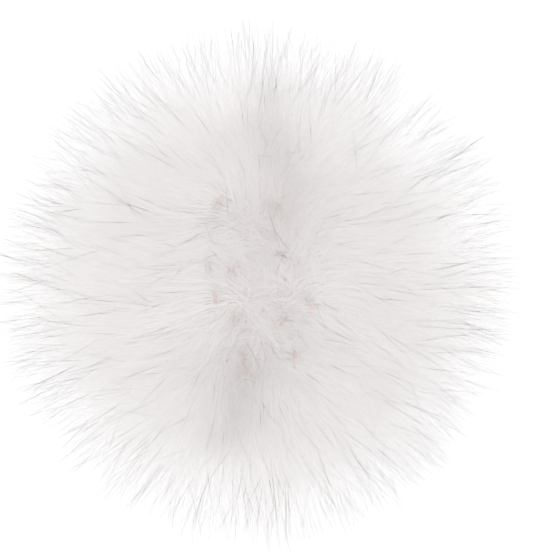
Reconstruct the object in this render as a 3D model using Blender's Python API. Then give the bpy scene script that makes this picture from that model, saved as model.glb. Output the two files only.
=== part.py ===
"""A faux-fur pom pom lying on its back, with the sew-on snap that fastens it.

Metres, +Z up. The origin is on the surface that the pom pom lies on, under its middle.
The fur is one solid: a dense ball whose surface rises into tapered locks. The snap is a
pressed steel plate with two wire springs, sewn under the middle of the ball.
"""

import math
import random

import bmesh
import bpy
from mathutils import Vector

MM = 0.001
GAP = 0.3 * MM  # between pieces that touch

# The fur
FUR_RADIUS = 46.5 * MM  # of the dense fur, seen from above
CROWN_HEIGHT = 86 * MM  # top of the dense fur
MIDDLE_HEIGHT = 44 * MM  # level of the widest part
BACKING_HEIGHT = 4.6 * MM  # level of the gathered back, where the snap is sewn
LOCK_LENGTH = 16.5 * MM  # of the longest locks, past the dense fur
CROWN_LOCK = 0.9  # length of the locks on top, as a share of that
SHORTEST_LOCK = 0.66  # of the locks at one place, as a share of the longest there
SAG = 0.07  # how much wider the ball is under its middle than a true ball
BARE_RADIUS = 12.5 * MM  # round the snap, where no lock has its root
FUR_POINTS = 150  # on the ball; each triangle between them carries a lock
FUR_SEED = 11

# How far the fur reaches past its mean size, by clock direction seen from above
CLOCK_REACH = (
    # hour, share of the lock length
    (12, 1.00),
    (1, 0.92),
    (2, 0.90),
    (3, 1.00),
    (4, 0.97),
    (5, 0.95),
    (6, 1.00),
    (7, 0.92),
    (8, 0.96),
    (9, 1.06),
    (10, 1.08),
    (11, 1.04),
)

# A lock, from its root to its tip
LOCK_SECTIONS = (
    # share of the length, share of the root's width
    (0.00, 0.88),
    (0.32, 0.74),
    (0.68, 0.40),
)
SPLAY = 1.3  # how much further outwards the locks under the ball lean
DROOP = 0.16  # how far a tip sinks, as a share of its lock's length
STRAY = 0.3  # how far a tip bends to one side, as a share of its lock's length

# Long swellings of the dense fur
SWELLINGS = (
    # waves round the ball, waves from top to bottom, turn in degrees, height
    (3, 1, 20, 0.9 * MM),
    (5, 2, 75, 0.7 * MM),
    (8, 3, 140, 0.5 * MM),
)

# The snap, face on, with heights measured away from the fur
SNAP_RADIUS = 10.5 * MM
SHEET = 0.4 * MM  # thickness of the pressed steel
BOSS_RADIUS = 3.1 * MM
BOSS_ROUND = 0.95 * MM  # radius of the rounding round the boss's flat top
BOSS_HEIGHT = 3.0 * MM
STEP_RADIUS = 5.5 * MM  # the raised ring that the boss stands on
STEP_HEIGHT = 0.25 * MM
STEP_SLOPE = 0.5 * MM  # width of the slope round that ring
FLOOR_RADIUS = 8.9 * MM  # the flat floor of the dish
BEAD_RADIUS = 0.35 * MM  # of the rolled edge
RIM_HEIGHT = 1.9 * MM
HOLE_COUNT = 6
HOLE_RING = 7.6 * MM
HOLE_LENGTH = 3.1 * MM
HOLE_WIDTH = 2.1 * MM
HOLE_FACETS = 16
SNAP_FACETS = 48
ARC_STEPS = 4  # facets of each small rounding

# The two springs, mirror images of each other, in the snap's own plane
WIRE_RADIUS = 0.3 * MM
WIRE_HEIGHT = 1.3 * MM  # middle of the wire
WIRE_ROOM = 0.25 * MM  # round the wire where it passes through the boss
LEG = 2.5 * MM  # how far the leg that grips through the boss is from the middle
LEG_END = -4.9 * MM
OUTER_LEG = 5.8 * MM
HAIRPIN_START = 2.5 * MM
HOOK_RADIUS = 1.3 * MM
HOOK_START = -4.2 * MM
HOOK_SWEEP = 100  # degrees, until the wire's end meets the rim
WIRE_ARC_STEPS = 10

SNAP_BACK = BACKING_HEIGHT - GAP  # level of the snap's sewn side


# ---------------------------------------------------------------- helpers


def clear_scene():
    for thing in list(bpy.data.objects):
        bpy.data.objects.remove(thing)


def material(name, colour, roughness, metallic=0.0):
    made = bpy.data.materials.new(name)
    made.use_nodes = True
    shader = made.node_tree.nodes["Principled BSDF"]
    shader.inputs["Base Color"].default_value = (*colour, 1)
    shader.inputs["Roughness"].default_value = roughness
    shader.inputs["Metallic"].default_value = metallic
    return made


def add_object(name, bm, finish):
    mesh = bpy.data.meshes.new(name)
    bm.to_mesh(mesh)
    bm.free()
    thing = bpy.data.objects.new(name, mesh)
    bpy.context.scene.collection.objects.link(thing)
    if finish:
        mesh.materials.append(finish)
    return thing


def shade_round(thing, angle):
    thing.data.shade_smooth()
    thing.data.set_sharp_from_angle(angle=math.radians(angle))


def arc(centre, radius, start, end, steps=ARC_STEPS):
    """Points (across, up) on an arc, with its angles in degrees from the first axis."""
    points = []
    for i in range(steps + 1):
        turn = math.radians(start + (end - start) * i / steps)
        across = centre[0] + radius * math.cos(turn)
        points.append((across, centre[1] + radius * math.sin(turn)))
    return points


# ---------------------------------------------------------------- the fur


def clock_reach(direction):
    """The share of the lock length in this direction, eased from hour to hour."""
    hour = (math.degrees(math.atan2(direction.x, direction.y)) / 30) % 12
    table = {clock % 12: share for clock, share in CLOCK_REACH}
    before = int(hour) % 12
    ease = hour - int(hour)
    return table[before] * (1 - ease) + table[(before + 1) % 12] * ease


def spiral_directions(count):
    """Evenly spread directions, on a spiral from the top to the bottom of a ball."""
    golden = math.pi * (3 - math.sqrt(5))
    for i in range(count):
        up = 1 - (2 * i + 1) / count
        out = math.sqrt(1 - up * up)
        yield Vector((out * math.cos(golden * i), out * math.sin(golden * i), up))


def fur_point(direction):
    """The place on the dense fur that lies in this direction from its middle."""
    above = CROWN_HEIGHT - MIDDLE_HEIGHT
    below = MIDDLE_HEIGHT - BACKING_HEIGHT * 0.4
    swell = 0.0
    turn = math.atan2(direction.y, direction.x)
    for waves, bands, offset, height in SWELLINGS:
        phase = waves * turn + bands * math.pi * direction.z + math.radians(offset)
        swell += height * math.sin(phase) * math.hypot(direction.x, direction.y)
    lowness = max(-direction.z, 0)
    place = direction * FUR_RADIUS * (1 + SAG * 4 * lowness * (1 - lowness))
    place.z = direction.z * (above if direction.z > 0 else below)
    place += direction * swell
    place.z = max(place.z + MIDDLE_HEIGHT, BACKING_HEIGHT)
    return place


def lock_path(root, direction, chance):
    """A lock's length, its direction at the root and how far its tip bends away."""
    length = LOCK_LENGTH * clock_reach(direction)
    length *= 1 - (1 - CROWN_LOCK) * max(direction.z, 0)
    length *= chance.uniform(SHORTEST_LOCK, 1)
    heading = direction.copy()
    if heading.z < 0:
        heading.x *= SPLAY
        heading.y *= SPLAY
    heading.normalize()
    sideways = heading.cross(Vector((0, 0, 1))).normalized()
    side_bend = sideways * chance.uniform(-STRAY, STRAY)
    droop = Vector((0, 0, -DROOP)) * (1 - abs(direction.z))
    bend = (side_bend + droop) * length
    tip_height = root.z + heading.z * length + bend.z
    if tip_height < 0:  # it rests on the surface instead
        shorter = root.z / (root.z - tip_height)
        length *= shorter
        bend *= shorter
    return length, heading, bend


def grow_lock(bm, face, direction, chance):
    """Raises one face into a tapered lock that bends towards its tip."""
    root = face.calc_center_median()
    length, heading, bend = lock_path(root, direction, chance)
    corners = [vert.co - root for vert in face.verts]
    for along, width in LOCK_SECTIONS:
        raised = bmesh.ops.extrude_discrete_faces(bm, faces=[face])["faces"]
        face = raised[0]
        middle = root + heading * length * along + bend * along**2
        for vert, corner in zip(face.verts, corners, strict=True):
            flat = corner - heading * corner.dot(heading) * along
            vert.co = middle + flat * width
    tip = root + heading * length + bend
    tip.z = max(tip.z, 0)
    raised = bmesh.ops.extrude_discrete_faces(bm, faces=[face])["faces"]
    bmesh.ops.pointmerge(bm, verts=raised[0].verts, merge_co=tip)


def make_fur(finish):
    """The ball and its locks, all one closed solid."""
    bm = bmesh.new()
    for direction in spiral_directions(FUR_POINTS):
        bm.verts.new(direction)
    bmesh.ops.convex_hull(bm, input=bm.verts)
    bmesh.ops.recalc_face_normals(bm, faces=bm.faces)
    directions = [face.calc_center_median().normalized() for face in bm.faces]
    for vert in bm.verts:
        vert.co = fur_point(vert.co.normalized())
    chance = random.Random(FUR_SEED)
    locks = 0
    for face, direction in zip(list(bm.faces), directions, strict=True):
        innermost = min(vert.co.xy.length for vert in face.verts)
        if direction.z < 0 and innermost < BARE_RADIUS:
            continue
        grow_lock(bm, face, direction, chance)
        locks += 1
    bm.normal_update()
    fur = add_object("fur_ball", bm, finish)
    print("fur locks:", locks)
    return fur


def centre_on_origin(thing):
    """Slides a piece until its box is centred over the origin."""
    for axis in (0, 1):
        places = [vert.co[axis] for vert in thing.data.vertices]
        middle = (min(places) + max(places)) / 2
        for vert in thing.data.vertices:
            vert.co[axis] -= middle


# ---------------------------------------------------------------- the snap


def plate_section():
    """The plate's section (out, up): from the top of the boss out over the front to the
    rolled edge, and back underneath into the hollow of the boss."""
    step = SHEET + STEP_HEIGHT
    foot = SNAP_RADIUS - 2 * BEAD_RADIUS - FLOOR_RADIUS  # the floor's upturned edge
    foot_middle = (FLOOR_RADIUS, SHEET + foot)
    boss_middle = (BOSS_RADIUS - BOSS_ROUND, BOSS_HEIGHT - BOSS_ROUND)
    bead_middle = (SNAP_RADIUS - BEAD_RADIUS, RIM_HEIGHT - BEAD_RADIUS)
    front = [(0, BOSS_HEIGHT)]
    front += arc(boss_middle, BOSS_ROUND, 90, 0)
    front += [(BOSS_RADIUS, step), (STEP_RADIUS - STEP_SLOPE, step), (STEP_RADIUS, SHEET)]
    front += arc(foot_middle, foot, -90, 0)
    front += arc(bead_middle, BEAD_RADIUS, 180, -75, 2 * ARC_STEPS)
    back = arc(foot_middle, foot + SHEET, -10, -90)
    back += [(STEP_RADIUS - SHEET / 2, 0), (STEP_RADIUS - STEP_SLOPE - SHEET / 2, STEP_HEIGHT)]
    back += [(BOSS_RADIUS - SHEET, STEP_HEIGHT)]
    back += arc(boss_middle, BOSS_ROUND - SHEET, 0, 90)
    back += [(0, BOSS_HEIGHT - SHEET)]
    return front + back


def add_prism(bm, outline, low, high):
    """A closed upright prism over an outline that runs anticlockwise."""
    floor = bm.faces.new([bm.verts.new((x, y, low)) for x, y in outline])
    floor.normal_flip()
    raised = bmesh.ops.extrude_face_region(bm, geom=[floor], use_keep_orig=True)
    lifted = [part for part in raised["geom"] if isinstance(part, bmesh.types.BMVert)]
    bmesh.ops.translate(bm, vec=(0, 0, high - low), verts=lifted)


def sewing_hole(index):
    """The outline of one oval hole, long side along the rim."""
    turn = 2 * math.pi * index / HOLE_COUNT
    for step in range(HOLE_FACETS):
        angle = 2 * math.pi * step / HOLE_FACETS
        out = HOLE_RING + HOLE_WIDTH / 2 * math.cos(angle)
        along = HOLE_LENGTH / 2 * math.sin(angle)
        x = out * math.cos(turn) - along * math.sin(turn)
        yield x, out * math.sin(turn) + along * math.cos(turn)


def make_cutter():
    """The six sewing holes, and the slots through which the springs' legs pass."""
    bm = bmesh.new()
    for index in range(HOLE_COUNT):
        add_prism(bm, list(sewing_hole(index)), -SHEET, BOSS_HEIGHT)
    room = WIRE_RADIUS + WIRE_ROOM
    reach = BOSS_RADIUS + WIRE_ROOM
    for side in (-1, 1):
        near, far = sorted((side * (LEG - room), side * reach))
        slot = [(near, -reach), (far, -reach), (far, reach), (near, reach)]
        add_prism(bm, slot, WIRE_HEIGHT - room, WIRE_HEIGHT + room)
    bmesh.ops.recalc_face_normals(bm, faces=bm.faces)
    cutter = add_object("snap_cutter", bm, None)
    cutter.hide_render = True
    cutter.display_type = "WIRE"
    return cutter


def make_plate(finish, place):
    """The pressed plate: dish, rolled edge, raised ring and boss in one sheet."""
    bm = bmesh.new()
    section = [bm.verts.new((out, 0, up)) for out, up in plate_section()]
    edges = [bm.edges.new(pair) for pair in zip(section, section[1:], strict=False)]
    bmesh.ops.spin(
        bm,
        geom=section + edges,
        cent=(0, 0, 0),
        axis=(0, 0, 1),
        angle=2 * math.pi,
        steps=SNAP_FACETS,
        use_merge=True,
    )
    bmesh.ops.remove_doubles(bm, verts=bm.verts, dist=MM / 1000)
    bmesh.ops.recalc_face_normals(bm, faces=bm.faces)
    plate = add_object("snap_plate", bm, finish)
    shade_round(plate, 35)
    cutter = make_cutter()
    cut = plate.modifiers.new("holes and slots", "BOOLEAN")
    cut.operation = "DIFFERENCE"
    cut.object = cutter
    for thing in (plate, cutter):
        thing.parent = place


def spring_path(side):
    """One spring in its plane: leg, hairpin, outer leg and the hook under the rim."""
    hairpin = (OUTER_LEG - LEG) / 2
    path = [(LEG, LEG_END), (LEG, 0)]
    path += arc((LEG + hairpin, HAIRPIN_START), hairpin, 180, 0, WIRE_ARC_STEPS)
    hook_middle = (OUTER_LEG + HOOK_RADIUS, HOOK_START)
    path += arc(hook_middle, HOOK_RADIUS, 180, 180 + HOOK_SWEEP, WIRE_ARC_STEPS)
    return [(side * x, y) for x, y in path]


def make_spring(name, side, finish, place):
    """One spring of round wire, as a curve with its own thickness."""
    wire = bpy.data.curves.new(name, "CURVE")
    wire.dimensions = "3D"
    wire.bevel_depth = WIRE_RADIUS
    wire.bevel_resolution = 2
    wire.use_fill_caps = True
    path = spring_path(side)
    spline = wire.splines.new("POLY")
    spline.points.add(len(path) - 1)
    for point, (x, y) in zip(spline.points, path, strict=True):
        point.co = (x, y, WIRE_HEIGHT, 1)
    wire.materials.append(finish)
    spring = bpy.data.objects.new(name, wire)
    bpy.context.scene.collection.objects.link(spring)
    spring.parent = place


def make_snap():
    """The snap, face down under the middle of the ball."""
    steel = material("polished steel", (0.62, 0.60, 0.58), 0.22, metallic=1.0)
    place = bpy.data.objects.new("snap_place", None)
    bpy.context.scene.collection.objects.link(place)
    place.location = (0, 0, SNAP_BACK)
    place.rotation_euler = (0, math.pi, 0)
    make_plate(steel, place)
    make_spring("snap_spring_left", -1, steel, place)
    make_spring("snap_spring_right", 1, steel, place)


def build():
    clear_scene()
    white_fur = material("white fur", (0.93, 0.92, 0.92), 1.0)
    centre_on_origin(make_fur(white_fur))
    make_snap()


build()
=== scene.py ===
# %% [markdown]
# # A white fur pom pom with its sew-on snap
#
# The real thing is a disc of long-pile faux fur, gathered round a little filling until it
# is a ball, with a steel snap sewn over the place where the gathers meet. It lies on its
# back here, face up under the camera.
#
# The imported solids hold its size: a ball with some 280 locks, and the snap. This lesson
# grows the real pile in the same space, some ninety thousand separate hairs, and finishes
# the snap. Everything is in metres, in the same frame as the solids.

# %% The fixed frame
import math
from typing import NamedTuple

import bpy
import numpy as np
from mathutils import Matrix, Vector, noise


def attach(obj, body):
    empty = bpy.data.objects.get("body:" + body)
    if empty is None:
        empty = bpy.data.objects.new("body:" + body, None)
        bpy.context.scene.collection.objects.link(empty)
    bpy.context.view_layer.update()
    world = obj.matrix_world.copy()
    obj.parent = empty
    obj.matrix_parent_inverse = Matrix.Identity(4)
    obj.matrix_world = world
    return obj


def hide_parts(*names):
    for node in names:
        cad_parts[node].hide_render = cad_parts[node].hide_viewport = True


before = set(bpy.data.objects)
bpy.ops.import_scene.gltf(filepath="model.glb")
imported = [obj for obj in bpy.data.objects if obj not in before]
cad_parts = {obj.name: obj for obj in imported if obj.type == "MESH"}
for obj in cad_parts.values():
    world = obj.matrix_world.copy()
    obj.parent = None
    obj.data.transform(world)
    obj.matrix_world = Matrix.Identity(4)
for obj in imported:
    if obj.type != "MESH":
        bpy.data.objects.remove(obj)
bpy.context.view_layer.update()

MM = 0.001

# %% [markdown]
# ## The camera
#
# The pom pom is pictured face on, so the camera hangs straight above it. A long lens from
# half a metre up keeps the view nearly flat, and the height follows from the real size of
# a pixel at the ball's widest level. The ball is a little left of and below the middle of
# the picture, so the camera moves by those pixels instead of using a lens shift.

# %% Camera
PICTURE = 557  # pixels, both ways
PIXEL = 0.2333 * MM  # real size of a pixel at the ball's widest level
BALL_PIXEL = (258, 285)  # where the ball's axis lies in the picture
WIDEST_LEVEL = 44 * MM
LENS = 150  # mm
SENSOR = 36  # mm
NEAREST_SEEN = 10 * MM


def above_pixel(column, row, level):
    """Where a pixel's ray passes a level above the floor, as x and y."""
    camera_height = WIDEST_LEVEL + PICTURE * PIXEL * LENS / SENSOR
    size = PIXEL * (camera_height - level) / (camera_height - WIDEST_LEVEL)
    aim_x = (PICTURE / 2 - BALL_PIXEL[0]) * PIXEL
    aim_y = (BALL_PIXEL[1] - PICTURE / 2) * PIXEL
    return aim_x + (column - PICTURE / 2) * size, aim_y + (PICTURE / 2 - row) * size


lens = bpy.data.cameras.new("overhead_camera")
lens.lens = LENS
lens.sensor_width = SENSOR
lens.clip_start = NEAREST_SEEN
camera = bpy.data.objects.new("overhead_camera", lens)
aim = above_pixel(PICTURE / 2, PICTURE / 2, WIDEST_LEVEL)
camera.location = (*aim, WIDEST_LEVEL + PICTURE * PIXEL * LENS / SENSOR)
bpy.context.scene.collection.objects.link(camera)
bpy.context.scene.camera = camera
print("camera, mm:", [round(place / MM, 1) for place in camera.location])

# %% [markdown]
# ## Writing a finish as sums
#
# A finish is a small program of nodes. Here it is written the way it is thought of, as
# sums: a `Varying` is a number that differs from place to place, and adding or multiplying
# two of them adds the Math node. A `Finish` is a Principled shader and the one method
# that makes any other node.

# %% Numbers that vary over a surface
class Varying:
    """A number that varies over a surface. Sums with it add Math nodes to its finish."""

    def __init__(self, finish, socket):
        self.finish = finish
        self.socket = socket

    def maths(self, operation, first, second):
        node = self.finish.node("Math", {"operation": operation}, {0: first, 1: second})
        return Varying(self.finish, node.outputs[0])

    def __add__(self, other):
        return self.maths("ADD", self, other)

    def __radd__(self, other):
        return self.maths("ADD", other, self)

    def __mul__(self, other):
        return self.maths("MULTIPLY", self, other)

    def __rmul__(self, other):
        return self.maths("MULTIPLY", other, self)


# %% A finish and its nodes
class Finish:
    """A material: its shader, and a method that makes the nodes which drive it."""

    def __init__(self, name, **constants):
        self.material = bpy.data.materials.new(name)
        self.material.use_nodes = True
        self.tree = self.material.node_tree
        self.shader = self.tree.nodes["Principled BSDF"]
        self.feed(**constants)

    def node(self, kind, settings, inputs):
        """A node of a kind, with its settings made before its inputs are filled."""
        made = self.tree.nodes.new("ShaderNode" + kind)
        for setting, value in settings.items():
            if setting == "stops":
                self.set_stops(made.color_ramp, value)
            else:
                setattr(made, setting, value)
        for socket, value in inputs.items():
            self.fill(made.inputs[socket], value)
        return made

    def set_stops(self, ramp, stops):
        """Give a ramp its stops: each a place from 0 to 1 and a colour."""
        while len(ramp.elements) < len(stops):
            ramp.elements.new(1)
        for element, (place, colour) in zip(ramp.elements, stops):
            element.position = place
            element.color = (*colour, 1)

    def fill(self, socket, value):
        """Link a socket to what varies, or set it to what doesn't."""
        if isinstance(value, Varying):
            self.tree.links.new(value.socket, socket)
        elif isinstance(value, bpy.types.NodeSocket):
            self.tree.links.new(value, socket)
        else:
            socket.default_value = value

    def feed(self, **inputs):
        """Fill the shader's own sockets."""
        for socket, value in inputs.items():
            self.fill(self.shader.inputs[socket.replace("_", " ")], value)

    def ramp(self, value, stops):
        """The colour that a ramp has at a value."""
        return self.node("ValToRGB", {"stops": stops}, {0: value}).outputs[0]

    def noise(self, scale, detail, place):
        """Soft noise with this many patches to the metre."""
        inputs = {"Vector": place, "Scale": scale, "Detail": detail}
        return Varying(self, self.node("TexNoise", {}, inputs).outputs[0])

    def bump(self, strength, depth, height):
        """A normal that makes a height stand up by a depth."""
        inputs = {"Strength": strength, "Distance": depth, "Height": height}
        return self.node("Bump", {}, inputs).outputs[0]


# %% [markdown]
# ## Floor and light
#
# The picture is a catalogue cut-out: the pom pom floats on pure white, with no shadow. A
# floor that glows, as a light table does, gives that white from every side. A lit sheet of
# paper would do too, but on it the ball throws a shadow. The camera sees the glow in full
# and the fur gets three quarters of it, which a Light Path node tells apart: with more, the
# ball's lower half is as white as the floor and is lost in side views. The lamp hangs near
# the camera's own line, which keeps the shadows between the hairs out of sight.

# %% Light table
FLOOR_WIDTH = 8
FLOOR_LIGHT = 0.75  # what the floor gives to the fur, of what it gives to the camera

# dark under its glow, so that the lamp and the sky add next to nothing
paper = Finish(
    "pale_paper",
    Base_Color=(0.1, 0.1, 0.1, 1),
    Roughness=0.9,
    Emission_Strength=1,
)
seen = Varying(paper, paper.node("LightPath", {}, {}).outputs["Is Camera Ray"])
paper.feed(Emission_Color=FLOOR_LIGHT + (1 - FLOOR_LIGHT) * seen)
bpy.ops.object.select_all(action="DESELECT")
bpy.ops.mesh.primitive_plane_add(size=FLOOR_WIDTH)
floor = bpy.context.object
floor.name = "floor"
floor.data.materials.append(paper.material)

# %% Soft light
SKY_STRENGTH = 0.8
LAMP_POWER = 1.36  # watts
LAMP_WIDTH = 0.4
LAMP_PLACE = Vector((-0.03, 0.04, 1.1))

bpy.context.scene.view_settings.view_transform = "Standard"
sky = bpy.data.worlds.new("white_studio")
sky.use_nodes = True
sky.node_tree.nodes["Background"].inputs["Color"].default_value = (1, 1, 1, 1)
sky.node_tree.nodes["Background"].inputs["Strength"].default_value = SKY_STRENGTH
bpy.context.scene.world = sky

softbox = bpy.data.lights.new("softbox", "AREA")
softbox.shape = "DISK"
softbox.size = LAMP_WIDTH
softbox.energy = LAMP_POWER
lamp = bpy.data.objects.new("softbox", softbox)
lamp.location = LAMP_PLACE
bpy.context.scene.collection.objects.link(lamp)
print("sky", SKY_STRENGTH, "lamp, W", LAMP_POWER)

# %% [markdown]
# ## The core
#
# Under the pile is the gathered fur's own body: a ball that is flattened at the back,
# where the snap sits. It is one round form, so a fine sphere is taken and pushed to the
# real profile, with a few soft swells from the filling.

# %% Shape of the core
CORE_RADIUS = 39.5 * MM
CORE_TOP = 80 * MM
CORE_BACK = 4.7 * MM  # level of the flat back
CORE_MIDDLE = 43 * MM  # level of its widest part
CORE_DEPTH = 40.5 * MM  # from there to the back's lowest point, before it is flattened
SWELL = 1.2 * MM
SWELL_SIZE = 22 * MM
SWELL_START = 5  # where its noise starts: another number gives other swells
CORE_FINENESS = 6  # subdivisions of the sphere that it starts from


def core_place(directions):
    """Points of the core's surface in these directions, as rows of x, y, z."""
    up = directions[:, 2]
    rows = directions * CORE_RADIUS
    rise = np.where(up > 0, CORE_TOP - CORE_MIDDLE, CORE_DEPTH)
    rows[:, 2] = np.maximum(CORE_MIDDLE + rise * up, CORE_BACK)
    return rows


def wandering(rows, size, start):
    """A smooth random number for each row, alike over patches of a size."""
    shift = Vector((start, start / 2, start / 3))
    return np.array([noise.noise(Vector(row) / size + shift) for row in rows])


bpy.ops.object.select_all(action="DESELECT")
bpy.ops.mesh.primitive_ico_sphere_add(subdivisions=CORE_FINENESS, radius=1)
core = bpy.context.object
core.name = "fur_core"
ball = np.array([vertex.co for vertex in core.data.vertices])
ball /= np.linalg.norm(ball, axis=1)[:, None]
body = core_place(ball)
swell = SWELL * wandering(body, SWELL_SIZE, SWELL_START)
body[:, :2] += ball[:, :2] * swell[:, None]
core.data.vertices.foreach_set("co", body.astype(np.float32).ravel())
core.data.update()
bpy.ops.object.shade_smooth()
print("core faces:", len(core.data.polygons))

# %% [markdown]
# ## The core's finish
#
# Between the hairs a little of the backing shows: short, dense fibre, pinkish cream. It is
# kept a little darker than the pile, as painted shade deep between the hairs. Two scales of
# noise carry its colour, and the finer one lifts the surface like felt.

# %% Felted backing
BLOTCHES = 90  # to the metre
FIBRES = 1400
FIBRE_SHARE = 0.3  # of the colour's changes, which the fine fibre makes
# the backing's pinkish cream, kept darker than the pile as painted shade between the hairs
BACKING_AND_SHADE_COLOURS = [(0.3, (0.86, 0.80, 0.79)), (0.7, (0.93, 0.91, 0.91))]
FELT_BUMP = 0.4
FIBRE_HEIGHT = 0.2 * MM

felt = Finish("felted_backing", Roughness=0.9, Specular_IOR_Level=0.1)
place = felt.node("TexCoord", {}, {}).outputs["Object"]
blotch = felt.noise(BLOTCHES, 3, place)
fibre = felt.noise(FIBRES, 4, place)
mottle = (1 - FIBRE_SHARE) * blotch + FIBRE_SHARE * fibre
felt.feed(
    Base_Color=felt.ramp(mottle, BACKING_AND_SHADE_COLOURS),
    Normal=felt.bump(FELT_BUMP, FIBRE_HEIGHT, fibre),
)
core.data.materials.append(felt.material)

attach(core, "root")
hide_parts("fur_ball")

# %% [markdown]
# ## Which way the fur lies
#
# Seen from above, the pile doesn't spread from one point: it parts along a crooked line
# over the crown, and on both sides of it leans further and further outwards. Past the
# crown it follows the ball. Small swirls on top of that make neighbouring tufts differ.

# %% Helpers for many directions at once
SEED = 7
TINY = 1e-12  # keeps a length of nothing from dividing by nothing
SWIRL_SHIFTS = (0, 31, 67)  # starts of the noise for x, y and z, far enough apart to differ

chance = np.random.default_rng(SEED)


def unit(rows):
    """The same directions, each of length 1."""
    return rows / np.maximum(np.linalg.norm(rows, axis=-1, keepdims=True), TINY)


def ease(values, low, high):
    """0 up to low, 1 from high on, and a smooth slope between."""
    share = np.clip((values - low) / (high - low), 0, 1)
    return share * share * (3 - 2 * share)


def swirl(rows, size, start):
    """A smooth random vector for each row, alike over patches of a size."""
    parts = [wandering(rows, size, start + shift) for shift in SWIRL_SHIFTS]
    return np.stack(parts, 1)


# %% The parting
CROWN_LEVEL = 90 * MM  # of the fur's surface, where the parting is seen
PARTING_PIXELS = ((266, 120), (270, 180), (281, 257), (262, 300), (245, 340), (240, 420))
PARTING = [Vector(above_pixel(*pixel, CROWN_LEVEL)) for pixel in PARTING_PIXELS]


def parting_near(rows):
    """For each row the nearest point of the parting, as x and y, and its distance."""
    gap = np.full(len(rows), np.inf)
    near = np.zeros((len(rows), 2))
    for start, end in zip(PARTING, PARTING[1:]):
        run = np.array(end - start)
        share = ((rows[:, :2] - start) * run).sum(1) / (run * run).sum()
        place = np.array(start) + np.clip(share, 0, 1)[:, None] * run
        far = np.linalg.norm(rows[:, :2] - place, axis=1)
        nearer = far < gap
        gap[nearer] = far[nearer]
        near[nearer] = place[nearer]
    return near, gap


# %% The lean of the fur
LEAN_WIDTH = 14 * MM  # from the parting to where the fur leans fully
LEAN_UNDER = 0.5  # lean of the fur below the widest level


def comb(directions, roots):
    """For each root: straight out of the core, and the way the fur leans there."""
    up = directions[:, 2]
    rise = np.where(up > 0, CORE_TOP - CORE_MIDDLE, CORE_DEPTH)
    wide = np.full(len(up), CORE_RADIUS)
    out = unit(directions / np.stack([wide, wide, rise], 1))
    near, gap = parting_near(roots)
    away = roots[:, :2] - near * np.clip(up, 0, 1)[:, None]
    level = np.column_stack([unit(away), np.zeros(len(up))])
    along = level - out * (out * level).sum(1, keepdims=True)
    strength = np.where(up > 0, ease(gap, 0, LEAN_WIDTH), LEAN_UNDER)
    return out, along * strength[:, None]


# %% [markdown]
# ## Tones
#
# White fur isn't one white. Over the crown it is cream. In the two clefts above and below
# the crown it is a pinkish grey, darker there as painted shade of the parted fur. Towards
# the rim it is a clean white, painted light for the light that the thin pile there lets
# through, and underneath it is duller again, a painted shade. Each hair is given one tone,
# a number from 0 to 1, and it is stored in the hair's place in the piece's UV map: the map
# has 64 columns, one for each tone, and runs from root to tip upwards. Hairs of one tone
# share a column, so the map can be filled once and it fits them all.

# %% Tone of each hair
CLEFT_WIDTH = 7 * MM
CLEFT_DEPTH = 12 * MM  # above the widest level, where the clefts have faded in
UPPER_CLEFT = (6 * MM, 14 * MM)  # from the ball's axis, where it begins and is full
LOWER_CLEFT = (8 * MM, 15 * MM)
PARTING_SHARE = 0.25  # of a cleft's depth, which the parting has between the two

TONES = 64  # columns of the map
CROWN_TONE = 0.45
# painted light: the rim's thin pile is made whiter
RIM_PAINTED_LIGHT = 0.5
RIM_BAND = (0.3, 1.06)  # core radii from the axis, where the rim's white begins and is full
# painted shade: the clefts and the underside are made darker
CLEFT_PAINTED_SHADE = 0.3
UNDER_PAINTED_SHADE = 0.7
UNDER_DEPTH = 30 * MM  # below the widest level, where the underside is dullest
PATCH_SIZE = 11 * MM
PATCH_GAIN = 0.1
TONE_SCATTER = 0.03


def cleft(roots):
    """How deep in a cleft of the fur each root lies, from 0 to 1."""
    gap = parting_near(roots)[1]
    either = np.maximum(ease(roots[:, 1], *UPPER_CLEFT), ease(-roots[:, 1], *LOWER_CLEFT))
    crown = ease(roots[:, 2], CORE_MIDDLE, CORE_MIDDLE + CLEFT_DEPTH)
    depth = PARTING_SHARE + (1 - PARTING_SHARE) * either
    return (1 - ease(gap, 0, CLEFT_WIDTH)) * depth * crown


def tones(roots):
    """The tone of the hairs with these roots: 0 is a cleft's painted shade, 1 the rim's painted
    light.
    """
    out = np.linalg.norm(roots[:, :2], axis=1) / CORE_RADIUS
    # painted shade, darker towards the bottom, and painted light towards the rim above
    below = UNDER_PAINTED_SHADE * ease(CORE_MIDDLE - roots[:, 2], 0, UNDER_DEPTH)
    rim = np.where(roots[:, 2] < CORE_MIDDLE, 1 - below, ease(out, *RIM_BAND))
    patch = PATCH_GAIN * wandering(roots, PATCH_SIZE, 0)
    tone = CROWN_TONE + RIM_PAINTED_LIGHT * rim + patch - CLEFT_PAINTED_SHADE * cleft(roots)
    tone += chance.normal(0, TONE_SCATTER, len(roots))
    tone[:2] = 0, 1  # so that every map is used from side to side
    return tone


# %% [markdown]
# ## White, grey and dark hairs
#
# Real hairs let light through, so the thin pile at the rim looks brighter than the deep
# pile over the crown. Light could be traced through every hair, but with so many of them
# that takes far too long, so the white hairs glow a little instead, the more the higher
# their tone. The stiffer hairs of the fringe and the crown are white with dark ends, and
# turn from one colour to the other along the hair.

# %% Colours of the hairs
# stops of ramps: a tone, or a share of the hair's length for the roots' painted shade,
# and the colour there
# WHITES: a cleft's painted shade at tone 0, the crown's cream, the rim's painted light at 1
WHITES = [(0, (0.87, 0.82, 0.81)), (0.45, (0.915, 0.89, 0.89)), (1, (0.965, 0.955, 0.955))]
# painted shade: the roots, deep in the pile, are a little darker than the tips
PAINTED_ROOT_SHADE = [(0.1, (0.97, 0.965, 0.965)), (0.7, (1, 1, 1))]
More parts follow.
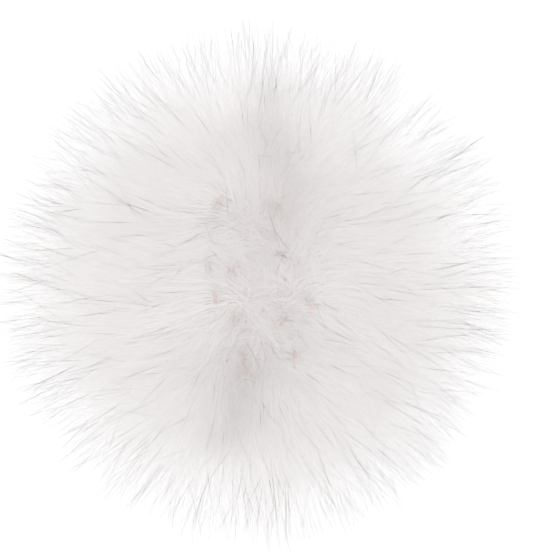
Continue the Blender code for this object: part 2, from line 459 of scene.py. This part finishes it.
# painted light: the white pile's glow, which rises with the tone, most at the rim
GLOWS = [(0.3, (0.95, 0.92, 0.92)), (0.84, (1.03, 0.99, 0.98)), (0.97, (1.3, 1.3, 1.3))]
PALE_ROOT = (0.93, 0.93, 0.94)
GREY_TIP = (0.12, 0.11, 0.11)
GREY_TURN = (0.58, 0.74)  # shares of the length between which the hair turns colour
DARK_TIP = (0.06, 0.055, 0.05)
DARK_TURN = (0.5, 0.62)
# painted light, as glow in place of light through the hairs: most in the white pile
WHITE_GLOW = 0.27
GREY_GLOW = 0.05
DARK_GLOW = 0.03
TURN_SHIFT = 0.1  # how much sooner a hair turns colour, from the first column to the last


def hair_map(finish):
    """A hair's tone column, and the place along the hair, from root to tip."""
    spread = finish.node("UVMap", {"uv_map": "OFBake"}, {}).outputs[0]
    parts = finish.node("SeparateXYZ", {}, {0: spread}).outputs
    column = Varying(finish, parts[0]).maths("SNAP", parts[0], 1 / TONES)
    return column, Varying(finish, parts[1])


def toned_white(name, glow):
    """White pile: its tone from the map's column, and a little painted shade at the root."""
    finish = Finish(name, Roughness=0.7, Specular_IOR_Level=0.2, Emission_Strength=glow)
    tone, along = hair_map(finish)
    # the Mix node's factor, and the two colours that it multiplies
    colours = {0: 1, 6: finish.ramp(tone, WHITES), 7: finish.ramp(along, PAINTED_ROOT_SHADE)}
    mix = finish.node("Mix", {"data_type": "RGBA", "blend_type": "MULTIPLY"}, colours)
    finish.feed(Base_Color=mix.outputs[2], Emission_Color=finish.ramp(tone, GLOWS))
    return finish


def tipped(name, root, tip, turn, glow):
    """Pale hair that turns to its tip's colour between two shares of its length."""
    finish = Finish(
        name,
        Roughness=0.6,
        Specular_IOR_Level=0.2,
        # an even glow, which is painted light
        Emission_Color=(1, 1, 1, 1),
        Emission_Strength=glow,
    )
    column, along = hair_map(finish)
    stops = [(turn[0], root), (turn[1], tip)]
    finish.feed(Base_Color=finish.ramp(along + TURN_SHIFT * column, stops))
    return finish


white = toned_white("white_pile", WHITE_GLOW)
grey_tipped = tipped("grey_tipped", PALE_ROOT, GREY_TIP, GREY_TURN, GREY_GLOW)
dark_tipped = tipped("dark_tipped", PALE_ROOT, DARK_TIP, DARK_TURN, DARK_GLOW)
print("white pile's tones:", TONES)

# %% [markdown]
# ## One hair
#
# A hair is a thin three-sided spike: a ring of three corners at each joint of its path,
# and one point at the tip. Three sides are enough at a tenth of a millimetre, and they are
# why so many hairs can be separate, closed and real. All the hairs of a coat are
# worked out together as arrays and become one mesh, which is far quicker than a hair at a
# time. Geometry Nodes could place copies of a hair instead, but then each hair's own
# bend and tone would be harder to steer.

# %% Faces of one hair
def spike_faces(joints):
    """Corner numbers of a hair's faces: its root, its sides and its tip."""
    faces = [(2, 1, 0)]
    tip = 3 * (joints - 1)
    for ring in range(0, tip, 3):
        for side in range(3):
            a, b = ring + side, ring + (side + 1) % 3
            faces.append((a, b, tip) if ring + 3 == tip else (a, b, b + 3, a + 3))
    return faces


ROOT_MAP = [(0.2, 0.0), (0.5, 0.02), (0.8, 0.0)]  # the root face's corners in the map
LEFT, MIDDLE, RIGHT = 0.1, 0.5, 0.9  # of a column of the map


def spike_map(joints):
    """For each face corner of a hair: how far across its column, and how far along."""
    rows = ROOT_MAP.copy()
    for face in spike_faces(joints)[1:]:
        across = (LEFT, RIGHT, MIDDLE) if len(face) == 3 else (LEFT, RIGHT, RIGHT, LEFT)
        rows += [(x, corner // 3 / (joints - 1)) for x, corner in zip(across, face)]
    return np.array(rows)


# %% The corners of many hairs
TAPER_FROM = 0.6  # share of a hair after which it thins to its tip
TAPER_BEFORE = 0.25  # share of the thinning that is done by then


def hair_points(paths, thickness, tip_share):
    """The corners of hairs that follow these paths, and which way each corner faces."""
    joints = paths.shape[1]
    ahead = unit(np.gradient(paths, axis=1))
    side = unit(np.cross(ahead, unit(chance.normal(0, 1, (len(paths), 1, 3)))))
    other = np.cross(ahead, side)
    places = np.linspace(0, 1, joints)
    waist = 1 - TAPER_BEFORE * (1 - tip_share)
    thinning = np.interp(places, [0, TAPER_FROM, 1], [1, waist, tip_share])
    radius = (thickness[:, None] / 2 * thinning)[:, :-1, None, None]
    turns = [2 * math.pi * corner / 3 for corner in range(3)]
    arms = np.stack([side * math.cos(turn) + other * math.sin(turn) for turn in turns], 2)
    rings = paths[:, :-1, None] + arms[:, :-1] * radius
    corners = np.concatenate([rings.reshape(len(paths), -1, 3), paths[:, -1:]], 1)
    facing = arms[:, :-1].reshape(len(paths), -1, 3)
    return corners, np.concatenate([facing, ahead[:, -1:]], 1)


# %% Many hairs as one mesh
MAP_EDGE = 0.01  # kept clear at the top and bottom of the map


def hair_mesh(name, corners, normals, joints, tone):
    """One mesh of all the hairs, mapped by tone and by the place along the hair."""
    hairs, per_hair, _ = corners.shape
    faces = spike_faces(joints)
    loops = np.concatenate(faces) + np.arange(hairs)[:, None] * per_hair
    sizes = np.tile([len(face) for face in faces], hairs)
    mesh = bpy.data.meshes.new(name)
    mesh.vertices.add(hairs * per_hair)
    mesh.vertices.foreach_set("co", corners.astype(np.float32).ravel())
    mesh.loops.add(loops.size)
    mesh.loops.foreach_set("vertex_index", loops.astype(np.int32).ravel())
    mesh.polygons.add(sizes.size)
    starts = np.concatenate([[0], np.cumsum(sizes)[:-1]])
    mesh.polygons.foreach_set("loop_start", starts.astype(np.int32))
    mesh.polygons.foreach_set("use_smooth", np.ones(sizes.size, bool))
    spread = spike_map(joints)
    column = np.clip((tone * TONES).astype(int), 0, TONES - 1)
    across = (column[:, None] + spread[:, 0]) / TONES
    upward = MAP_EDGE + (1 - 2 * MAP_EDGE) * np.broadcast_to(spread[:, 1], across.shape)
    hair_uv = np.stack([across, upward], -1).astype(np.float32)
    mesh.uv_layers.new(name="OFBake").data.foreach_set("uv", hair_uv.ravel())
    mesh.update(calc_edges=True)
    mesh.normals_split_custom_set_from_vertices(normals.reshape(-1, 3))
    return mesh


# %% [markdown]
# ## Soft shading
#
# Shaded by their own faces alone, hairs glitter like needles. Real fur looks soft, because
# light goes on from hair to hair, and what counts is which way a whole patch of it faces.
# Tracing that takes too long again. Instead each corner's normal is the hair's own with the
# ball's outward direction added to it, and most on the crown, where the camera looks along
# the hairs and their sides would be dark.

# %% A piece of fur
SOFTNESS = 0.6  # of the ball's outward direction, added to a hair's own
CROWN_SOFTNESS = 2.1  # more of it, on the crown
SOFT_BAND = (0.3, 0.9)  # height of a root's direction, where the crown begins and is full
triangles = {}


def add_fur(name, finish, paths, thickness, tip_share):
    """Make a fur piece of hairs along these paths, which stands for the fur ball."""
    corners, facing = hair_points(paths, thickness, tip_share)
    outward = unit(paths[:, 0] - (0, 0, CORE_MIDDLE))
    soft = SOFTNESS + CROWN_SOFTNESS * ease(outward[:, 2], *SOFT_BAND)
    normals = unit(facing + (soft[:, None] * outward)[:, None])
    mesh = hair_mesh(name, corners, normals, paths.shape[1], tones(paths[:, 0]))
    mesh.materials.append(finish.material)
    piece = bpy.data.objects.new(name, mesh)
    bpy.context.scene.collection.objects.link(piece)
    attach(piece, "root")
    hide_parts("fur_ball")
    triangles[name] = len(mesh.loops) - 2 * len(mesh.polygons)
    print(name, "hairs:", len(paths), "triangles:", triangles[name])


# %% [markdown]
# ## A coat of fur
#
# Fur has layers: short down close to the skin, the long pile over it, and a few stiff guard
# hairs that stand past all the rest. Each layer grows in tufts, whose hairs start
# together, lean together and draw together a little towards their tips. Long hairs that
# reach too far are cut back, as the maker's scissors do. Blender's own hair system could
# grow them too, but it leaves strands, not closed meshes that any renderer can show. A
# table holds what makes the layers differ. The bands overlap, so that no edge shows
# between them.

# %% What makes a coat
class Coat(NamedTuple):
    """A layer of fur on one band of the ball. Sizes are in millimetres."""

    name: str
    finish: Finish
    lowest: float  # the band's edges, from -1 at the back to 1 at the crown
    highest: float
    tufts: int  # on the whole ball
    hairs: int  # in each tuft
    joints: int  # of each hair's path
    shortest: float
    longest: float
    few_long: float  # 1 gives as many long hairs as short, more gives fewer
    thickness: float
    tip_share: float  # thickness at the tip, of that at the root
    gather: float  # how much a tuft draws together
    stray: float  # how much tufts differ in direction


# %% Roots of the tufts
GOLDEN_TURN = math.pi * (3 - math.sqrt(5))
ROOT_SCATTER = 0.6  # of the mean distance between tufts
BAND_BLUR = 0.07
BARE_RADIUS = 13 * MM  # round the snap, where no hair grows


def tuft_roots(coat):
    """Directions and roots of a coat's tufts, spread evenly in a spiral, then shaken."""
    number = np.arange(coat.tufts)
    up = 1 - (2 * number + 1) / coat.tufts
    out = np.sqrt(1 - up**2)
    turn = number * GOLDEN_TURN
    rows = np.stack([out * np.cos(turn), out * np.sin(turn), up], 1)
    rows = unit(rows + chance.normal(0, ROOT_SCATTER / math.sqrt(coat.tufts), rows.shape))
    level = rows[:, 2] + chance.normal(0, BAND_BLUR, coat.tufts)
    roots = core_place(rows)
    bare = (rows[:, 2] < 0) & (np.linalg.norm(roots[:, :2], axis=1) < BARE_RADIUS)
    inside = (level >= coat.lowest) & (level < coat.highest) & ~bare
    return rows[inside], roots[inside]


# %% Headings of the tufts
SWIRLS = (
    # size of its patches, start of its noise, strength on the sides and on the crown
    (13 * MM, 3, 0.245, 0.84),
    (5 * MM, 9, 0.175, 0.315),
)
SWIRL_BAND = (0.7, 0.95)  # height of a root's direction, where the crown begins and is full
DROOP = 0.15  # of the side hairs' tips
ROOT_LEAN = 0.9
TIP_LEAN = 1.3


def tuft_headings(coat, directions, roots):
    """Where a coat's tufts point: out of the core, and their hairs' roots and tips."""
    out, along = comb(directions, roots)
    crown = ease(directions[:, 2:], *SWIRL_BAND)
    bend = chance.normal(0, coat.stray, roots.shape)
    for size, start, on_sides, on_crown in SWIRLS:
        bend += swirl(roots, size, start) * (on_sides + (on_crown - on_sides) * crown)
    sink = (1 - np.abs(directions[:, 2:])) * (0, 0, -DROOP)
    at_root = unit(out + ROOT_LEAN * (along + bend))
    at_tip = unit(out + TIP_LEAN * (along + bend) + sink)
    return out, at_root, at_tip


# %% Scissors
TRIM_RADIUS = 67.8 * MM  # from the ball's axis, past which the pile is cut
LEAST_SPREAD = 1e-6  # of a hair, in metres, below which it can't be measured


def trim(paths):
    """The same hairs, with those that reach past the trimmed outline shrunk to it."""
    root = np.linalg.norm(paths[:, 0, :2], axis=1)
    tip = np.linalg.norm(paths[:, -1, :2], axis=1)
    share = np.clip((TRIM_RADIUS - root) / np.maximum(tip - root, LEAST_SPREAD), 0, 1)
    kept = np.where(tip > TRIM_RADIUS, share, 1)[:, None, None]
    return paths[:, :1] + (paths - paths[:, :1]) * kept


# %% Lengths of the hairs
LOCK_SIZE = 8 * MM  # of patches whose hairs are alike in length
LOCK_MEAN = 0.95
LOCK_CHANGE = 0.2
LOCK_START = 40  # where the locks' noise starts
TUFT_CHANGE = 0.06
CLEFT_CUT = 0.2  # of the length, deep in a cleft
LENGTH_PEAK = 1.6  # more gathers the lengths around their mean


def hair_lengths(coat, roots, tuft):
    """The length of each hair, from its own chance and from its tuft's lock."""
    longer = chance.beta(LENGTH_PEAK, LENGTH_PEAK * coat.few_long, (len(tuft), 1))
    length = MM * (coat.shortest + (coat.longest - coat.shortest) * longer)
    uneven = chance.uniform(-TUFT_CHANGE, TUFT_CHANGE, len(roots))
    lock = LOCK_MEAN + LOCK_CHANGE * wandering(roots, LOCK_SIZE, LOCK_START) + uneven
    return length * (lock * (1 - CLEFT_CUT * cleft(roots)))[tuft, None]


# %% Hairs of the tufts
TUFT_RADIUS = 3.0 * MM
SIDE_FROM = (0.3, 0.2, 0.93)  # a tuft's side is square to this and to its way out
HAIR_STRAY = 0.08
ROOT_STRAY = 0.6  # of a hair's stray, at its root
TIP_STRAY = 1.5
GATHER_LATE = 1.5  # 1 gathers a tuft evenly along its hairs, more does it near the tips
FLOOR_GAP = 0.25 * MM
FLOOR_PILE = 0.9 * MM  # depth over which hairs lie flat on the floor


def grow(coat):
    """The paths of a coat's hairs: hairs, joints, x y z."""
    directions, roots = tuft_roots(coat)
    out, at_root, at_tip = tuft_headings(coat, directions, roots)
    tuft = np.repeat(np.arange(len(roots)), coat.hairs)
    count = (len(tuft), 1)
    side = unit(np.cross(out, SIDE_FROM))[tuft]
    turn = chance.uniform(0, 2 * math.pi, count)
    far = TUFT_RADIUS * np.sqrt(chance.uniform(0, 1, count))
    beside = far * (side * np.cos(turn) + np.cross(out[tuft], side) * np.sin(turn))
    stray = chance.normal(0, HAIR_STRAY, (len(tuft), 3))
    start = unit(at_root[tuft] + ROOT_STRAY * stray + beside / CORE_RADIUS)
    end = unit(at_tip[tuft] + TIP_STRAY * stray + beside / CORE_RADIUS)
    length = hair_lengths(coat, roots, tuft)
    gather = chance.uniform(0, coat.gather, count)
    paths = np.empty((len(tuft), coat.joints, 3))
    for joint, share in enumerate(np.linspace(0, 1, coat.joints)):
        bent = start * (share - share**2 / 2) + end * share**2 / 2
        apart = beside * (1 - gather * share**GATHER_LATE)
        paths[:, joint] = roots[tuft] + apart + length * bent
    lowest = FLOOR_GAP + FLOOR_PILE * chance.uniform(0, 1, count)
    paths[:, :, 2] = np.maximum(paths[:, :, 2], lowest)
    return trim(paths)


# %% The coats
COATS = (
    # name, finish, band, tufts, hairs, joints, lengths, few long, thickness, tip, gather, stray
    Coat("down_crown", white, 0.3, 1.2, 2200, 18, 3, 9, 14, 1.0, 0.20, 0.2, 0.3, 0.1),
    Coat("down_sides", white, -0.3, 0.3, 2200, 16, 3, 4, 10, 1.0, 0.20, 0.2, 0.4, 0.1),
    Coat("down_back", white, -1.2, -0.3, 1400, 12, 3, 6, 11, 1.0, 0.30, 0.2, 0.4, 0.1),
    Coat("pile_crown", white, 0.35, 1.2, 2000, 28, 3, 12, 21, 1.2, 0.09, 0.15, 0.2, 0.1),
    Coat("fine_crown", white, 0.55, 1.2, 2600, 22, 3, 12, 19.5, 1.0, 0.06, 0.2, 0.2, 0.1),
    Coat("pile_sides", white, -0.35, 0.35, 1600, 20, 3, 5, 13.5, 1.8, 0.07, 0.15, 0.2, 0.1),
    Coat("long_sides", white, -0.25, 0.45, 5800, 6, 3, 18, 31, 0.5, 0.046, 0.4, 0.0, 0.12),
    Coat("pile_back", white, -1.2, -0.35, 1100, 18, 3, 8, 23, 1.3, 0.13, 0.15, 0.3, 0.1),
    Coat("grey_fringe", grey_tipped, -0.3, 0.45, 4200, 1, 3, 13, 32, 0.6, 0.066, 0.6, 0.0, 0.2),
    Coat("guard_hairs", dark_tipped, 0.1, 1.2, 1300, 1, 3, 19.5, 26, 0.8, 0.085, 0.7, 0.1, 0.3),
)

THINNEST = 0.75  # of a coat's thickness
THICKEST = 1.25
OUTER_POINTS = 8  # on the outer part of each of the crown's hairs

outer_parts = []  # of the crown's white hairs, as rows of points
for coat in COATS:
    paths = grow(coat)
    thickness = MM * coat.thickness * chance.uniform(THINNEST, THICKEST, len(paths))
    add_fur(coat.name, coat.finish, paths, thickness, coat.tip_share)
    if "crown" in coat.name:
        for share in np.linspace(0, 1, OUTER_POINTS):
            outer_parts.append(paths[:, -2] + share * (paths[:, -1] - paths[:, -2]))
crown_points = np.concatenate(outer_parts)

# %% [markdown]
# ## Curls
#
# Here and there over the crown a lock curls over the pile, and its ends are tan.
# There are a dozen, so they are placed where the picture has them. Painted marks
# would be enough from afar, but these are real hairs too: fourteen fine ones at each place,
# which rise straight through the pile and curl over on top of it. How far up that is
# follows from the crown's own hairs, or the curls would stand out of it from the side.

# %% Tan curls
CURL_PIXELS = (
    (220, 205), (205, 266), (229, 267), (212, 296), (275, 207), (281, 257),
    (307, 304), (281, 318), (236, 322), (238, 357), (250, 372), (298, 357),
)
CURL_TURNS = (0.5, 4.2, 4.0, 4.6, 5.2, 5.5, 4.4, 3.5, 0.9, 4.9, 1.9, 1.2)  # headings
CURL_HAIRS = 14  # in each curl
CURL_JOINTS = 7
CURL_SPREAD = 0.5 * MM
CURL_FAN = 0.35  # how much the headings of a curl's hairs differ
CURL_REACH = 3.2 * MM
CURL_REACHES = (0.6, 1.1)  # least and most of it that a hair has
CURL_FOOT = CORE_TOP - 3 * MM
CURL_NEAR = 1.5 * MM  # how far round a curl the fur's level is taken
CURL_OVER = 90  # percent of the fur there that lies lower than the curl
CURL_UNEVEN = 2 * MM
CURL_FROM = 0.45  # share of a hair after which it leaves the upright
CURL_HOOK = 0.6  # how far its end turns round
CURL_ARCH = 2.0  # radians of a sine: it goes over its top and a little down again
CURL_THICKNESS = 0.11 * MM
CURL_TIP_SHARE = 0.4
TAN_ROOT = (0.9, 0.86, 0.86)
TAN_TIP = (0.66, 0.47, 0.41)
TAN_TURN = (0.62, 0.8)
# painted light: the curls glow a little, as the other hairs do
TAN_GLOW = 0.12

tan_tipped = tipped("tan_tipped", TAN_ROOT, TAN_TIP, TAN_TURN, TAN_GLOW)


def fur_level(mark):
    """How high the fur stands at a mark: the level that few of its hairs pass."""
    near = np.linalg.norm(crown_points[:, :2] - mark, axis=1) < CURL_NEAR
    return np.percentile(crown_points[near, 2], CURL_OVER)


def curl_paths():
    """The paths of all curls' hairs: up through the pile, then sideways over it."""
    marks = np.array([above_pixel(*pixel, CROWN_LEVEL) for pixel in CURL_PIXELS])
    level = np.repeat([fur_level(mark) for mark in marks], CURL_HAIRS)
    hairs = len(marks) * CURL_HAIRS
    place = np.repeat(marks, CURL_HAIRS, 0) + chance.normal(0, CURL_SPREAD, (hairs, 2))
    turn = np.repeat(CURL_TURNS, CURL_HAIRS) + chance.normal(0, CURL_FAN, hairs)
    heading = np.stack([np.cos(turn), np.sin(turn)], 1)
    aside = heading[:, ::-1] * (-1, 1)
    reach = CURL_REACH * chance.uniform(*CURL_REACHES, (hairs, 1))
    foot = place - reach * heading / 2
    rise = level - chance.uniform(0, CURL_UNEVEN, hairs) - CURL_FOOT
    paths = np.empty((hairs, CURL_JOINTS, 3))
    for joint, share in enumerate(np.linspace(0, 1, CURL_JOINTS)):
        over = reach * ease(share, CURL_FROM, 1)
        paths[:, joint, :2] = foot + over * (heading + CURL_HOOK * share * aside)
        paths[:, joint, 2] = CURL_FOOT + rise * math.sin(CURL_ARCH * share)
    return paths


curls = curl_paths()
curl_thickness = np.full(len(curls), CURL_THICKNESS)
add_fur("tan_curls", tan_tipped, curls, curl_thickness, CURL_TIP_SHARE)
print("all triangles:", sum(triangles.values()))

# %% [markdown]
# ## The snap
#
# The snap is pressed from thin steel and plated, so it is bright, a little blotchy, and
# finely scratched from tumbling. Its solids have the true shape already: they keep it, and
# only get this finish.

# %% Plated steel
CLOUDS = 260  # to the metre
SCRATCHES = 900
SCRATCH_STRETCH = (1, 9, 1)  # how much narrower than long the scratches are
STEEL_COLOURS = [(0.35, (0.42, 0.41, 0.40)), (0.65, (0.66, 0.65, 0.64))]
STEEL_ROUGHNESS = 0.16
CLOUD_ROUGHNESS = 0.2
SCRATCH_ROUGHNESS = 0.12
STEEL_BUMP = 0.15
SCRATCH_DEPTH = 0.05 * MM

steel = Finish("plated_steel", Metallic=1)
place = steel.node("TexCoord", {}, {}).outputs["Object"]
cloud = steel.noise(CLOUDS, 3, place)
streaky = steel.node("Mapping", {}, {"Vector": place, "Scale": SCRATCH_STRETCH}).outputs[0]
scratch = steel.noise(SCRATCHES, 2, streaky)
steel.feed(
    Base_Color=steel.ramp(cloud, STEEL_COLOURS),
    Roughness=STEEL_ROUGHNESS + CLOUD_ROUGHNESS * cloud + SCRATCH_ROUGHNESS * scratch,
    Normal=steel.bump(STEEL_BUMP, SCRATCH_DEPTH, scratch),
)
for name in ("snap_plate", "snap_spring_left", "snap_spring_right"):
    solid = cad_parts[name]
    solid.data.materials.clear()
    solid.data.materials.append(steel.material)
